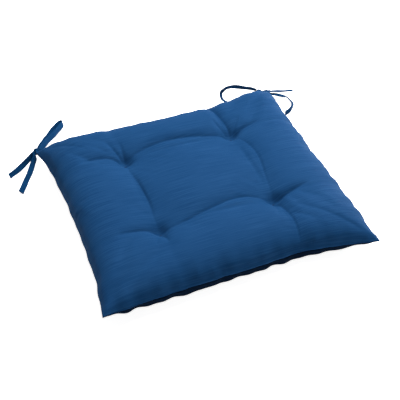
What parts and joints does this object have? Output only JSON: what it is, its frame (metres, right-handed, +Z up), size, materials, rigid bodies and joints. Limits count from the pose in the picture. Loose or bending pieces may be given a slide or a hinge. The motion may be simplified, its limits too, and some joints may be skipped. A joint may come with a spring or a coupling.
{
  "type": "chair seat pad",
  "caption": "Square tufted chair seat pad with a knife-edge seam, hollow-drawn tufts and a tie bow at each rear corner.",
  "frame": {"origin": "middle of the pad's underside, on the surface it rests on", "axes": "+X to the pad's right and +Y to its rear, where the ties are; +Z up, through the pad's thickness"},
  "size_m": [0.5103, 0.4927, 0.055],
  "materials": {
    "cover": "matte",
    "tie": "matte",
    "thread": "satin",
    "filling": "matte"
  },
  "bodies": {
    "root": {"top_panel": "cover", "bottom_panel": "cover", "fibre_filling": "filling", "edge_seam_thread": "thread", "closing_seam_thread": "thread", "tuft_stitch_front_left": "thread", "tuft_stitch_front_right": "thread", "tuft_stitch_rear_left": "thread", "tuft_stitch_rear_right": "thread", "tie_knot_left": "tie", "tie_knot_right": "tie", "tie_loop_left": "tie", "tie_loop_right": "tie", "tie_tail_left_inner": "tie", "tie_tail_left_outer": "tie", "tie_tail_right_curved": "tie", "tie_tail_right_straight": "tie"}
  },
  "joints": []
}
